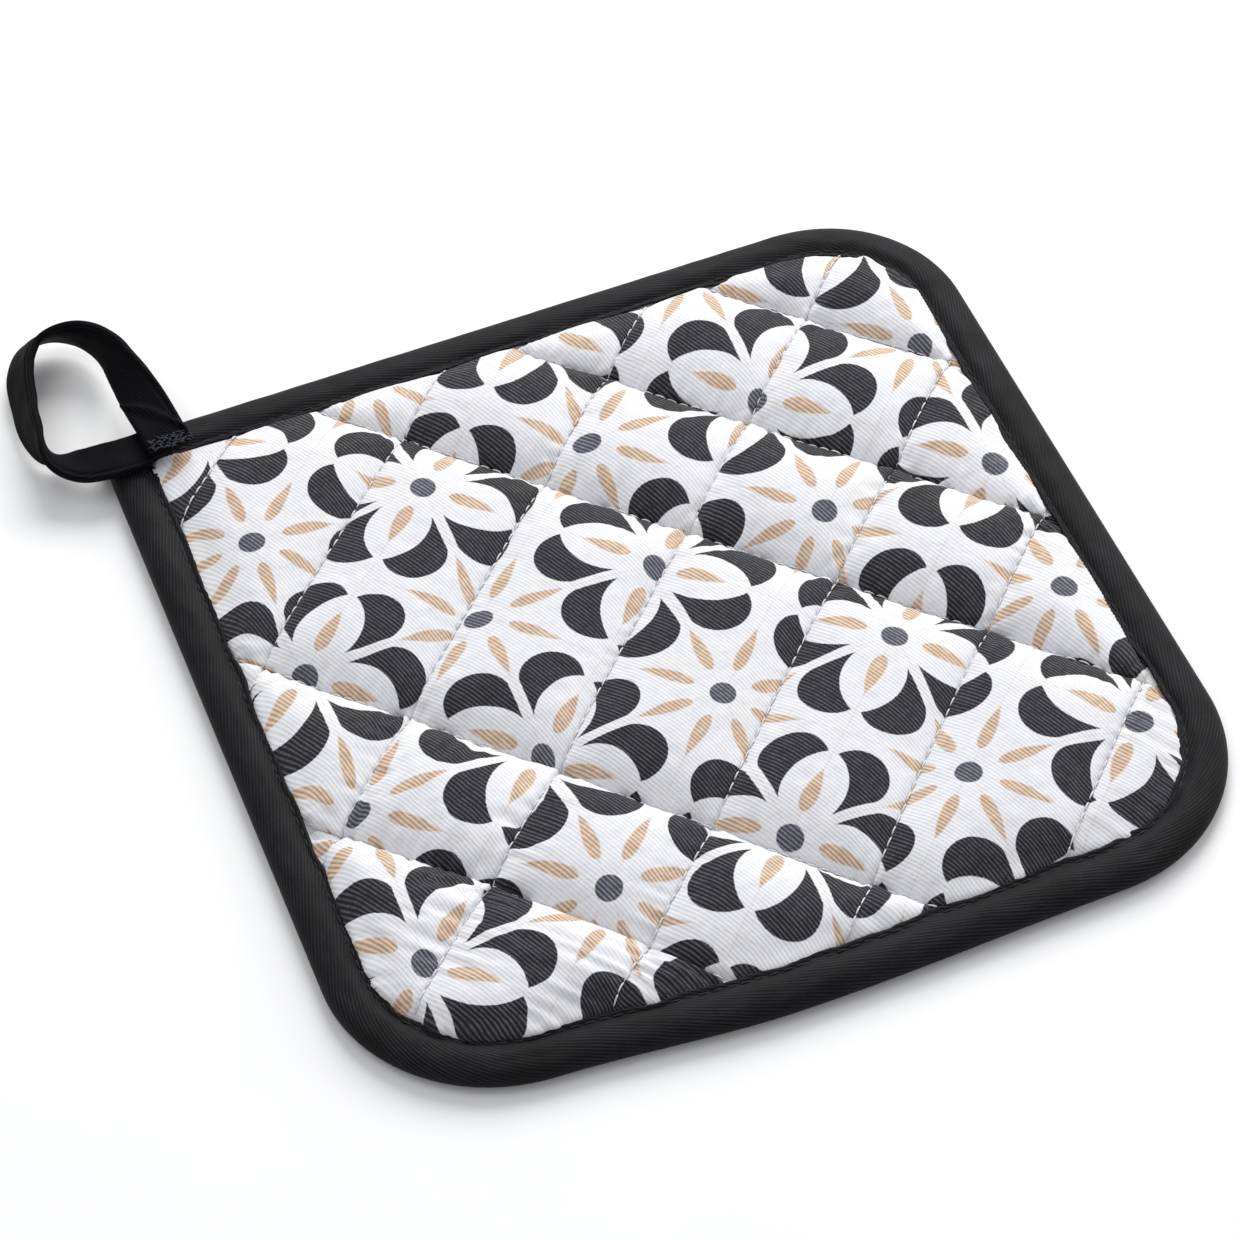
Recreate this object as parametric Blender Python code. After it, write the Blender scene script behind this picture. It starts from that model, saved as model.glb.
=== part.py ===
"""Quilted pot holder: a padded square, a tape binding round its rim and a tape loop at one corner."""
import math

import bmesh
import bpy
from mathutils import Vector
from mathutils.geometry import delaunay_2d_cdt

MM = 0.001

# Plan of the rim, seen from above: X right, Y away, origin in the middle of the underside
HALF_SIDE = 100 * MM
RADIUS_NEAR_LEFT = 38 * MM
RADIUS_NEAR_RIGHT = 38 * MM
RADIUS_FAR_RIGHT = 33 * MM
ARC_STEPS = 9
SIDE_STEPS = 14

# The near edge was sewn a little uneven: bowed out in its middle, drawn in at its left end
NEAR_BOW = 1.6 * MM
NEAR_BOW_REACH = 42 * MM
NEAR_LEFT_LIFT = 3.4 * MM
NEAR_LEFT_FROM = -12 * MM
NEAR_LEFT_TO = -70 * MM
CORNERS = (
    # x side, y side, radius, angle at which the arc starts
    (-1, -1, RADIUS_NEAR_LEFT, 180),
    (1, -1, RADIUS_NEAR_RIGHT, 270),
    (1, 1, RADIUS_FAR_RIGHT, 0),
)

# Heights
PAD_RIM_LOW = 1.5 * MM
PAD_RIM_HIGH = 4.1 * MM
PAD_RIM_INSET = 1.9 * MM
PAD_FREE_INSET = 10.7 * MM
CROWN = 5.0 * MM
RISE_AT_RIM = 5 * MM

# Quilting: set A runs from near left to far right at 45 degrees to the sides, set B crosses it a little askew
A_PITCH = 35.5 * MM
A_FIRST = -112.1 * MM
A_COUNT = 7
A_LINES = [A_FIRST + step * A_PITCH for step in range(A_COUNT)]
A_FLOOR = 0.70
B_LINES = [place * MM for place in (-78.3, -44.93, 25.8, 60.5, 95.2)]
B_LEAN = -0.02
PILLOW_HALF = 17.5 * MM
PILLOW_POWER = 3.0
UNDER_GROOVE = 1.0 * MM
UNDER_GROOVE_HALF = 3.0 * MM
UNDER_RAMP = 2.6 * MM

# Rows of points along the quilting lines and three more places: how far they lie from each
GRID_OFFSETS = (0, 3 * MM, 8 * MM, 17.4 * MM, -3 * MM, -8 * MM)
GRID_BEYOND_B = [place * MM for place in (-113, -9.6, 129.9)]
GRID_CLEARANCE = 3.6 * MM

# Triangulation of the pad's plan
KEEP_INSIDE_OUTLINE = 1
MERGE_DISTANCE = 1e-7

# Section of the binding, from its sewn edge on top round the rim to its sewn edge below
BINDING_OUTSIDE = (
    # inset, height, in mm
    (10.3, 5.10),
    (8.8, 4.95),
    (7.0, 5.45),
    (4.2, 5.60),
    (1.7, 5.05),
    (0.4, 3.95),
    (0.0, 2.80),
    (0.4, 1.65),
    (1.7, 0.45),
    (3.4, 0.00),
    (10.3, 0.00),
)
BINDING_INSIDE = (
    # inset, height, in mm
    (10.3, 1.20),
    (1.6, 1.20),
    (1.6, 4.40),
    (10.3, 4.40),
)

# Hanging loop: the tape's middle line and how its width leans, 0 degrees lying flat
LOOP_TAPE_WIDTH = 10.5 * MM
LOOP_TAPE_THICKNESS = 2.0 * MM
LOOP_TAPE_ROUNDING = 0.55 * MM
LOOP_STEPS = 4
LOOP_STATIONS = (
    # x and y from the corner in mm, height in mm, lean in degrees
    (9.6, -7.7, 7.1, 0),
    (5.0, -7.8, 7.1, 0),
    (0.4, -7.7, 7.1, 1),
    (-4.6, -6.5, 7.0, 6),
    (-8.9, -3.1, 6.8, 28),
    (-11.8, 1.5, 6.8, 88),
    (-12.7, 7.6, 6.8, 112),
    (-12.4, 14.2, 6.8, 120),
    (-11.4, 21.2, 6.8, 126),
    (-9.6, 28.0, 7.0, 130),
    (-5.8, 33.2, 7.4, 130),
    (0.6, 33.8, 7.8, 119),
    (7.0, 29.4, 8.4, 92),
    (10.4, 22.2, 9.2, 66),
    (11.7, 14.0, 9.8, 48),
    (12.8, 6.0, 10.2, 27),
    (13.8, -2.0, 9.9, 6),
    (14.8, -12.2, 9.6, 0),
)

COLOURS = {
    # colour, roughness
    "printed_cotton": ((0.80, 0.80, 0.82, 1), 0.9),
    "black_tape": ((0.012, 0.012, 0.016, 1), 0.75),
}
SHARP_EDGE = math.radians(50)


def clear_scene():
    for thing in list(bpy.data.objects):
        bpy.data.objects.remove(thing, do_unlink=True)


def material(name):
    colour, roughness = COLOURS[name]
    made = bpy.data.materials.new(name)
    made.use_nodes = True
    shader = made.node_tree.nodes["Principled BSDF"]
    shader.inputs["Base Color"].default_value = colour
    shader.inputs["Roughness"].default_value = roughness
    shader.inputs["Metallic"].default_value = 0
    made.diffuse_color = colour
    return made


def add_object(name, mesh, finish):
    thing = bpy.data.objects.new(name, mesh)
    mesh.materials.append(finish)
    bpy.context.scene.collection.objects.link(thing)
    mesh.shade_smooth()
    mesh.set_sharp_from_angle(angle=SHARP_EDGE)
    return thing


def smooth_step(value, low, high):
    share = min(max((value - low) / (high - low), 0), 1)
    return share * share * (3 - 2 * share)


def rim_posts():
    """Points on the rim's plan, anticlockwise from the loop corner, each with the way inwards."""
    posts = [(Vector((-HALF_SIDE, HALF_SIDE)), Vector((1, -1)))]
    last = posts[0][0]
    for x_side, y_side, radius, first_angle in CORNERS:
        centre = Vector((x_side, y_side)) * (HALF_SIDE - radius)
        arc = []
        for step in range(ARC_STEPS + 1):
            angle = math.radians(first_angle + 90 * step / ARC_STEPS)
            outward = Vector((math.cos(angle), math.sin(angle)))
            arc.append((centre + outward * radius, -outward))
        start, inward = arc[0]
        for step in range(1, SIDE_STEPS):
            posts.append((last.lerp(start, step / SIDE_STEPS), inward))
        posts.extend(arc)
        last = arc[-1][0]
    for step in range(1, SIDE_STEPS):
        posts.append((last.lerp(posts[0][0], step / SIDE_STEPS), Vector((0, -1))))
    return posts


def rim_ring(inset):
    """The rim's plan, moved inwards."""
    return [point + inward * inset for point, inward in rim_posts()]


def sew_uneven(x, y):
    """The plan's true place of a point: the near edge bows out and its left end is drawn in."""
    nearness = smooth_step(-y, 0, HALF_SIDE)
    bow = NEAR_BOW * math.exp(-((x / NEAR_BOW_REACH) ** 2))
    lift = NEAR_LEFT_LIFT * smooth_step(-x, -NEAR_LEFT_FROM, -NEAR_LEFT_TO)
    return x, y + nearness * (lift - bow)


def edge_distance(x, y):
    """How far a point of the plan lies inside the rim."""
    distance = min(HALF_SIDE - abs(x), HALF_SIDE - abs(y))
    for x_side, y_side, radius, _ in CORNERS:
        across = x * x_side - (HALF_SIDE - radius)
        along = y * y_side - (HALF_SIDE - radius)
        if across > 0 and along > 0:
            distance = radius - math.hypot(across, along)
    return distance


def line_distances(x, y):
    """Distance to the nearest quilting line of set A and of set B."""
    across_a = (x - y) / math.sqrt(2)
    across_b = (x + y) / math.sqrt(2) - B_LEAN * across_a
    to_a = min(abs(across_a - line) for line in A_LINES)
    to_b = min(abs(across_b - line) for line in B_LINES)
    return to_a, to_b


def puff(distance):
    """Share of the full height at a distance from a seam: steep beside it, flat on the crown."""
    share = min(distance / PILLOW_HALF, 1)
    return 1 - (1 - share) ** PILLOW_POWER


def top_height(x, y):
    to_a, to_b = line_distances(x, y)
    over_a = A_FLOOR + (1 - A_FLOOR) * puff(to_a)
    free = max(edge_distance(x, y) - PAD_FREE_INSET, 0)
    at_rim = 1 - (1 - min(free / RISE_AT_RIM, 1)) ** 2
    return PAD_RIM_HIGH + CROWN * over_a * puff(to_b) * at_rim


def under_height(x, y):
    ramp = max(1 - max(edge_distance(x, y) - PAD_FREE_INSET, 0) / UNDER_RAMP, 0)
    groove = max(1 - min(line_distances(x, y)) / UNDER_GROOVE_HALF, 0)
    return max(PAD_RIM_LOW * ramp, UNDER_GROOVE * groove * groove)


def quilting_grid(first_spot):
    """Points of the pad's plan in rows along the quilting lines, and the pairs of neighbours in a row."""
    rows_a = sorted(line + offset for line in A_LINES for offset in GRID_OFFSETS)
    rows_b = sorted(line + offset for line in B_LINES + GRID_BEYOND_B for offset in GRID_OFFSETS)
    points = []
    in_row = {}
    for across_a in rows_a:
        for across_b in rows_b:
            leaned_b = across_b + B_LEAN * across_a
            x = (leaned_b + across_a) / math.sqrt(2)
            y = (leaned_b - across_a) / math.sqrt(2)
            if edge_distance(x, y) > PAD_FREE_INSET + GRID_CLEARANCE:
                for row in (("a", across_a), ("b", across_b)):
                    in_row.setdefault(row, []).append(first_spot + len(points))
                points.append(Vector((x, y)))
    pairs = [pair for spots in in_row.values() for pair in zip(spots, spots[1:])]
    return points, pairs


def quilted_pad():
    """One filled solid: the same plan of triangles above and below, joined by its thin side."""
    rings = [rim_ring(inset) for inset in (PAD_RIM_INSET, PAD_FREE_INSET, PAD_FREE_INSET + UNDER_RAMP)]
    count = len(rings[0])
    ring_points = [point for ring in rings for point in ring]
    around = [start + step for start in (count, 2 * count) for step in range(count)]
    pairs = [(spot, spot + 1 if (spot + 1) % count else spot + 1 - count) for spot in around]
    grid_points, grid_pairs = quilting_grid(len(ring_points))
    outer = list(range(count))
    spots, _, faces, _, _, _ = delaunay_2d_cdt(
        ring_points + grid_points, pairs + grid_pairs, [outer], KEEP_INSIDE_OUTLINE, MERGE_DISTANCE
    )
    mesh = bmesh.new()
    top = [mesh.verts.new((*sew_uneven(*spot), top_height(*spot))) for spot in spots]
    under = [mesh.verts.new((*sew_uneven(*spot), under_height(*spot))) for spot in spots]
    below = dict(zip(top, under))
    for corners in faces:
        mesh.faces.new([top[corner] for corner in corners])
        mesh.faces.new([under[corner] for corner in reversed(corners)])
    for edge in [edge for edge in mesh.edges if edge.is_boundary and edge.verts[0] in below]:
        first, second = edge.verts
        mesh.faces.new((first, second, below[second], below[first]))
    bmesh.ops.recalc_face_normals(mesh, faces=mesh.faces)
    made = bpy.data.meshes.new("quilted_pad")
    mesh.to_mesh(made)
    mesh.free()
    return made


def swept(name, sections, closed):
    """A solid through equal sections, each a ring of points; open sweeps are capped."""
    mesh = bmesh.new()
    rings = [[mesh.verts.new(point) for point in section] for section in sections]
    count = len(rings[0])
    pairs = list(zip(rings, rings[1:]))
    if closed:
        pairs.append((rings[-1], rings[0]))
    for here, there in pairs:
        for corner in range(count):
            after = (corner + 1) % count
            mesh.faces.new((here[corner], here[after], there[after], there[corner]))
    if not closed:
        mesh.faces.new(rings[0])
        mesh.faces.new(list(reversed(rings[-1])))
    bmesh.ops.triangulate(mesh, faces=mesh.faces)
    bmesh.ops.recalc_face_normals(mesh, faces=mesh.faces)
    made = bpy.data.meshes.new(name)
    mesh.to_mesh(made)
    mesh.free()
    return made


def binding():
    """The tape folded over the rim, swept round the plan and mitred at the loop corner."""
    section = [(inset * MM, height * MM) for inset, height in BINDING_OUTSIDE + BINDING_INSIDE]
    rings = []
    for point, inward in rim_posts():
        ring = []
        for inset, height in section:
            spot = point + inward * inset
            ring.append((*sew_uneven(spot.x, spot.y), height))
        rings.append(ring)
    return swept("binding", rings, closed=True)


def smooth_run(stations, steps):
    """Catmull-Rom values through the rows of a table."""
    rows = [Vector(row) for row in stations]
    rows = [rows[0] * 2 - rows[1]] + rows + [rows[-1] * 2 - rows[-2]]
    run = []
    for before, start, end, after in zip(rows, rows[1:], rows[2:], rows[3:]):
        for step in range(steps):
            t = step / steps
            run.append(
                (
                    start * 2
                    + (end - before) * t
                    + (before * 2 - start * 5 + end * 4 - after) * t**2
                    + (start * 3 - before - end * 3 + after) * t**3
                )
                / 2
            )
    run.append(rows[-2])
    return run


def hanging_loop():
    """The tape's tail: flat at the rim, on its edge round the bend, flat again on the corner."""
    run = smooth_run(LOOP_STATIONS, LOOP_STEPS)
    middle = [Vector((x * MM - HALF_SIDE, y * MM + HALF_SIDE, z * MM)) for x, y, z, _ in run]
    half_width = LOOP_TAPE_WIDTH / 2
    half_thick = LOOP_TAPE_THICKNESS / 2
    rounding = LOOP_TAPE_ROUNDING
    outline = []
    for side in (1, -1):
        outline.append((side * half_width, side * (half_thick - rounding)))
        outline.append((side * (half_width - rounding), side * half_thick))
        outline.append((side * (rounding - half_width), side * half_thick))
        outline.append((-side * half_width, side * (half_thick - rounding)))
    sections = []
    for index, row in enumerate(run):
        ahead = middle[min(index + 1, len(middle) - 1)]
        behind = middle[max(index - 1, 0)]
        along = (ahead - behind).normalized()
        left = Vector((0, 0, 1)).cross(along).normalized()
        up = along.cross(left)
        lean = math.radians(row[3])
        across = left * math.cos(lean) + up * math.sin(lean)
        out = along.cross(across)
        sections.append([middle[index] + across * w + out * n for w, n in outline])
    return swept("hanging_loop", sections, closed=False)


def build():
    clear_scene()
    cotton = material("printed_cotton")
    tape = material("black_tape")
    add_object("quilted_pad", quilted_pad(), cotton)
    add_object("binding", binding(), tape)
    add_object("hanging_loop", hanging_loop(), tape)


build()
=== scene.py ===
"""Looks of a quilted pot holder: printed cotton over wadding, bound in black tape, with a tape loop."""

import math
import random

import bmesh
import bpy
import numpy as np
from mathutils import Matrix, Vector, noise


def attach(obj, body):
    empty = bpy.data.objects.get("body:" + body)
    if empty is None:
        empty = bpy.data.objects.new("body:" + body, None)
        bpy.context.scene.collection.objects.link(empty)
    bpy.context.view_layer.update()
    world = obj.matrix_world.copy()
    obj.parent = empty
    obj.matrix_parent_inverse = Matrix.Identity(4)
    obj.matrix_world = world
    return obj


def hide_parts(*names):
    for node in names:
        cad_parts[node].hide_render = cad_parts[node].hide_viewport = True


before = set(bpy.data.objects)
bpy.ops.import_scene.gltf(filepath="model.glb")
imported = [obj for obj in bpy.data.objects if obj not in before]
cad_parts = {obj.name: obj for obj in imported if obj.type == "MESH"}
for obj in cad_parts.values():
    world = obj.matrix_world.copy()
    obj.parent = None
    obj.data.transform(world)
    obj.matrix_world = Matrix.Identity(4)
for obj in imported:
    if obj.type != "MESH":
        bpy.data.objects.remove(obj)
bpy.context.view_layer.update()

MM = 0.001

# Plan of the rim, as in the solids: X right, Y away, origin in the middle of the underside
HALF_SIDE = 100 * MM
RADIUS_NEAR_LEFT = 38 * MM
RADIUS_NEAR_RIGHT = 38 * MM
RADIUS_FAR_RIGHT = 33 * MM
CORNERS = (
    # x side, y side, radius, angle at which the arc starts
    (-1, -1, RADIUS_NEAR_LEFT, 180),
    (1, -1, RADIUS_NEAR_RIGHT, 270),
    (1, 1, RADIUS_FAR_RIGHT, 0),
)
NEAR_BOW = 1.6 * MM
NEAR_BOW_REACH = 42 * MM
NEAR_LEFT_LIFT = 3.4 * MM
NEAR_LEFT_FROM = -12 * MM
NEAR_LEFT_TO = -70 * MM

# Quilting: set A runs from near left to far right, set B crosses it
A_PITCH = 35.5 * MM
A_FIRST = -112.1 * MM
A_COUNT = 7
A_LINES = [A_FIRST + step * A_PITCH for step in range(A_COUNT)]
B_PITCH = 34.7 * MM
B_LINES = [place * MM for place in (-78.3, -44.93, 25.8, 60.5, 95.2)]
B_LEAN = -0.02

# Heights of the pad
PAD_RIM_HIGH = 4.1 * MM
PAD_RIM_LOW = 1.5 * MM
PAD_HIDDEN_INSET = 2.2 * MM
PAD_FREE_INSET = 10.2 * MM
CROWN = 5.0 * MM
RISE_AT_RIM = 5 * MM
RISE_POWER = 2.6
A_FLOOR = 0.70
B_TAKE_UP = 0.85
PILLOW_HALF = 17.5 * MM
PILLOW_POWER = 3.0
UNDER_GROOVE = 1.0 * MM
UNDER_GROOVE_HALF = 3.0 * MM
UNDER_RAMP = 2.6 * MM

# Grid of the pad's cloth: cells between two quilting lines
CELLS = 26
GRID_REACH = 142 * MM

# How the top cloth settles over the wadding: how much longer it is than its place, and how it is pushed
SETTLE_STEPS = 200
LENGTH_ROUNDS = 3
WADDING_PUSH = 0.004 * MM
STIFFNESS = 0.016
SLACK_ACROSS_A = 0.008
SLACK_ACROSS_B = 0.045
SLACK_BROAD = 0.014
SLACK_UNEVEN = 0.3
SLACK_WAVES = 12
GATHER = 0.036
GATHER_REACH = 7 * MM
RIM_SLACK = 0.08
RIM_SLACK_REACH = 3 * MM
RIM_BULGE = 1.6 * MM
RIM_BULGE_AT = 1.2 * MM
RIM_BULGE_REACH = 1.4 * MM
FIRST_WRINKLES = 0.25 * MM
FIRST_WRINKLE_WAVES = 80
FOLD_GIVES_WAY = 0.5
ON_LINE = 0.05 * MM
BINDING_HOLDS = 0.3 * MM
PUSH_FADES = 0.7

# Narrow folds in which the seams lie
A_FOLD_DEPTH = 0.5 * MM
B_FOLD_DEPTH = 0.95 * MM
FOLD_HALF = 0.9 * MM
FOLD_SWALLOWS = 0.8 * MM
FOLD_START = 0.6 * MM
FOLD_REACH = 7 * MM
FOLD_WAVES = 60
FOLD_FADES_FROM = 2 * MM
FOLD_FADES_TO = -1 * MM
PUCKER = 0.13 * MM
PUCKER_REACH = 1.6 * MM
FINE_RELIEF = 0.07 * MM
FINE_RELIEF_WAVES = 110

# The print: flowers with stars between them, in millimetres of flat cloth, along and across the A lines
PRINT_REPEAT_U = 56.25
PRINT_REPEAT_V = 55.85
PRINT_U = -64.5
PRINT_V = 12.0
PRINT_LEAN = 0.032
LOBE_CENTRE = (8.0, 17.4)
LOBE_RADIUS = 7.0
LOBE_FROM_AXIS = 1.2
LOBE_FROM_CENTRE = 6
PETAL_CENTRE = (12.2, 4.8)
PETAL_RADIUS = 11.9
MARKS = {
    # start, length and half width of an ochre mark
    "petal": (6.2, 11.2, 1.75),
    "ray": (6.6, 12.2, 1.5),
}
DROP_FULLNESS = 2.6
DROP_TRIM = 0.06
STAR_RAYS = 8
FLOWER_DOT_RADIUS = 2.75
FLOWER_DOT_STRETCH = 0.9
STAR_DOT_RADIUS = 2.8
PRINT_DRAG = 1.9 * MM
PRINT_DRAG_REACH = 6 * MM
PRINT_SHIFTS = (
    # place over the B lines, shift along u, shift along v, all in mm
    (-79.5, 3.0, -2.7),
    (-77.5, 0.2, 1.6),
    (-43.0, -0.5, 2.2),
    (-14.0, 0.5, 0.5),
    (14.0, 0.0, 0.0),
    (50.0, 0.0, 0.0),
    (68.0, 0.6, 0.7),
    (97.0, -1.0, 1.7),
)

# Camera of the photograph, worked out from the rim's square, on a 36 mm wide film
CAMERA_TURN = 0.3234
CAMERA_TILT = -0.6737
CAMERA_ROLL = 0.0643
CAMERA_SHIFT = Vector((10.4816, -4.1353, -865.3188)) * MM
FOCAL_PIXELS = 3955.11
PHOTO_PIXELS = 1240
FILM = 36

# Section of the binding, from its sewn edge on top round the rim to its sewn edge below
BINDING_SECTION = (
    # inset, height, in mm
    (9.4, 4.25),
    (9.95, 4.45),
    (10.15, 4.85),
    (9.95, 5.15),
    (9.4, 5.12),
    (8.8, 4.75),
    (8.3, 4.95),
    (7.0, 5.50),
    (5.6, 5.70),
    (4.2, 5.62),
    (2.8, 5.38),
    (1.5, 4.85),
    (0.5, 3.95),
    (0.0, 2.80),
    (0.4, 1.65),
    (1.6, 0.50),
    (3.2, 0.05),
    (5.5, 0.00),
    (8.2, 0.05),
    (8.95, 0.45),
    (9.6, 0.05),
    (10.3, 0.25),
    (10.3, 0.95),
    (9.6, 1.20),
    (1.9, 1.30),
    (1.6, 2.80),
    (1.9, 4.10),
)
BINDING_SPACING = 1.3 * MM
SEAM_SPACING = 0.5 * MM
MITRE_REACH = 15 * MM
MITRE_CALM = 5

# How the binding's sewn edge wanders, in millimetres
TOP_FROM = 3.6
TOP_TO = 4.6
LIP_FROM = 7.2
LIP_TO = 9.6
LIP_BELOW = 0.3
LIP_DRIFT = 1.1
LIP_DRIFT_WAVE = 9
LIP_TREMBLE = 0.25
LIP_TREMBLE_WAVE = 2.5
TAPE_SWELL = 0.22
TAPE_SWELL_WAVE = 6
LIP_PUCKER = 0.07

# Hanging loop, as in the solids
LOOP_TAPE_WIDTH = 10.5 * MM
LOOP_STEPS = 14
LOOP_STATIONS = (
    # x and y from the corner in mm, height in mm, lean in degrees
    (9.6, -7.7, 7.1, 0),
    (5.0, -7.8, 7.1, 0),
    (0.4, -7.7, 7.1, 1),
    (-4.6, -6.5, 7.0, 6),
    (-8.9, -3.1, 6.8, 28),
    (-11.8, 1.5, 6.8, 88),
    (-12.7, 7.6, 6.8, 112),
    (-12.4, 14.2, 6.8, 120),
    (-11.4, 21.2, 6.8, 126),
    (-9.6, 28.0, 7.0, 130),
    (-5.8, 33.2, 7.4, 130),
    (0.6, 33.8, 7.8, 119),
    (7.0, 29.4, 8.4, 92),
    (10.4, 22.2, 9.2, 66),
    (11.7, 14.0, 9.8, 48),
    (12.8, 6.0, 10.2, 27),
    (13.8, -2.0, 9.9, 6),
    (14.8, -12.2, 9.6, 0),
)
LOOP_CREASE = (15.0, 16.7)
LOOP_CREASE_HALF = 0.13
LOOP_CREASE_HEIGHT = 0.9
LOOP_WAVE = 0.3
LOOP_WAVE_LENGTH = 5
LOOP_SECTION = (
    # place across the tape, height of the face, both in mm
    (-5.25, 0.00),
    (-5.15, 0.42),
    (-4.75, 0.80),
    (-4.00, 0.92),
    (-2.00, 0.90),
    (0.00, 0.92),
    (2.20, 0.90),
    (3.30, 0.86),
    (3.80, 0.62),
    (4.30, 0.86),
    (4.85, 0.88),
    (5.18, 0.50),
    (5.25, 0.00),
)

# Stitches
STITCH = 3.0 * MM
STITCH_ARCH = 0.36 * MM
STITCH_WANDER = 0.08 * MM
THREAD = 0.19 * MM
THREAD_SIDES = 5
THREAD_STEPS = 5
THREAD_ABOVE_A = 0.42 * MM
THREAD_ABOVE_B = 0.85 * MM
UNDER_BINDING = 0.6 * MM
BINDING_STITCH_INSET = 8.8 * MM
BINDING_STITCH_HEIGHT = 4.78 * MM

# Bar tack that holds the loop's end: its place from the corner, its rows and its threads
TACK_FROM = (10.9, -12.3)
TACK_TO = (19.2, -8.6)
TACK_ROWS = 4
TACK_COUNT = 11
TACK_STITCH = 2.2 * MM
TACK_HEIGHT = 10.6 * MM
TACK_ARCH = 0.3 * MM

# Colours and weaves of the cotton, its print, the tape and the threads; the cotton's and tape's lighter rib
# colours are painted highlight, and the cotton's darker furrow colours painted shade
WHITE = (0.775, 0.775, 0.80)
WHITE_FURROW_SHADE = (0.60, 0.60, 0.64)
CHARCOAL = (0.010, 0.0095, 0.013)
CHARCOAL_RIB_HIGHLIGHT = (0.112, 0.107, 0.123)
OCHRE = (0.75, 0.60, 0.43)
OCHRE_FURROW_SHADE = (0.38, 0.20, 0.09)
DOT = (0.052, 0.052, 0.068)
DOT_RIB_HIGHLIGHT = (0.29, 0.29, 0.34)
TWILL_DIRECTION = -65.3
TWILL_PITCH = 0.815
PRINT_FRAY = 0.35
# The tape is black; its lighter rib colours are a painted sheen on the ribs
TAPE_FURROW = (0.0018, 0.0018, 0.0024)
BINDING_RIB_SHEEN = (0.036, 0.035, 0.042)
# The loop's tape is the binding's black tape made darker and less shiny: painted shade on the loop
LOOP_SHADED_RIB = (0.014, 0.0135, 0.018)
BINDING_SHINE = 0.13
LOOP_SHINE = 0.035
TAPE_TWILL_DIRECTION = 17
TAPE_TWILL_PITCH = 0.72
WHITE_THREAD = (0.86, 0.86, 0.88)
BLACK_THREAD = (0.005, 0.005, 0.007)
BLUE_THREAD = (0.009, 0.015, 0.030)

# Studio
FLOOR_REACH = 3.0
FLOOR_DARKER = (0.90, 0.90, 0.90)
FLOOR_LIGHTER = (0.93, 0.93, 0.93)
ROOM_COLOUR = (0.97, 0.98, 1.0, 1)
ROOM_STRENGTH = 0.56
LIGHTS = (
    # name, place, size, power
    ("key_light", (0.585, 1.105, 0.936), 1.04, 20.2),
    ("side_light", (1.0, 0.2, 0.4), 0.4, 3),
    ("top_light", (-0.4, 0.2, 1.2), 0.8, 1.8),
)


class Field:
    """A number that shader nodes work out at each point of a surface."""

    def __init__(self, tree, socket):
        self.tree = tree
        self.socket = socket

    def math(self, operation, *others, clamp=False):
        node = self.tree.nodes.new("ShaderNodeMath")
        node.operation = operation
        node.use_clamp = clamp
        for slot, value in zip(node.inputs, (self, *others)):
            if isinstance(value, Field):
                self.tree.links.new(value.socket, slot)
            else:
                slot.default_value = value
        return Field(self.tree, node.outputs[0])

    def __add__(self, other):
        return self.math("ADD", other)

    def __sub__(self, other):
        return self.math("SUBTRACT", other)

    def __mul__(self, other):
        return self.math("MULTIPLY", other)

    def __truediv__(self, other):
        return self.math("DIVIDE", other)

    def __abs__(self):
        return self.math("ABSOLUTE")

    def less(self, other):
        return self.math("MINIMUM", other)

    def more(self, other):
        return self.math("MAXIMUM", other)

    def clamped(self):
        return self.math("ADD", 0.0, clamp=True)

    def inside(self, softness):
        """1 where a distance is above zero and 0 below, with a soft edge."""
        return self.math("MULTIPLY_ADD", 1 / softness, 0.5, clamp=True)


def hypot(x, y):
    return (x * x + y * y).math("SQRT")


def new_material(name):
    made = bpy.data.materials.new(name)
    made.use_nodes = True
    return made, made.node_tree, made.node_tree.nodes["Principled BSDF"]


def flat_places(tree):
    """The surface's own flat coordinates, in millimetres."""
    nodes = tree.nodes
    uv = nodes.new("ShaderNodeUVMap")
    uv.uv_map = "flat"
    parts = nodes.new("ShaderNodeSeparateXYZ")
    tree.links.new(uv.outputs[0], parts.inputs[0])
    return Field(tree, parts.outputs[0]) * 100, Field(tree, parts.outputs[1]) * 100


def noise_of(x, y, scale, detail=2.0, roughness=0.5, seed=0.0):
    """Noise from -0.5 to 0.5 over flat coordinates; scale is in waves to the millimetre."""
    tree = x.tree
    join = tree.nodes.new("ShaderNodeCombineXYZ")
    tree.links.new(x.socket, join.inputs[0])
    tree.links.new(y.socket, join.inputs[1])
    join.inputs[2].default_value = seed
    node = tree.nodes.new("ShaderNodeTexNoise")
    node.inputs["Scale"].default_value = scale
    node.inputs["Detail"].default_value = detail
    node.inputs["Roughness"].default_value = roughness
    tree.links.new(join.outputs[0], node.inputs["Vector"])
    return Field(tree, node.outputs["Fac"]) - 0.5


def mixed(tree, share, first, second):
    """A colour between two colours or sockets."""
    node = tree.nodes.new("ShaderNodeMix")
    node.data_type = "RGBA"
    tree.links.new(share.socket, node.inputs[0])
    for slot, value in ((6, first), (7, second)):
        if isinstance(value, tuple):
            node.inputs[slot].default_value = (*value, 1)
        else:
            tree.links.new(value, node.inputs[slot])
    return node.outputs[2]


def add_bump(tree, shader, height, distance, strength):
    node = tree.nodes.new("ShaderNodeBump")
    node.inputs["Distance"].default_value = distance
    node.inputs["Strength"].default_value = strength
    tree.links.new(height.socket, node.inputs["Height"])
    tree.links.new(node.outputs[0], shader.inputs["Normal"])


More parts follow.
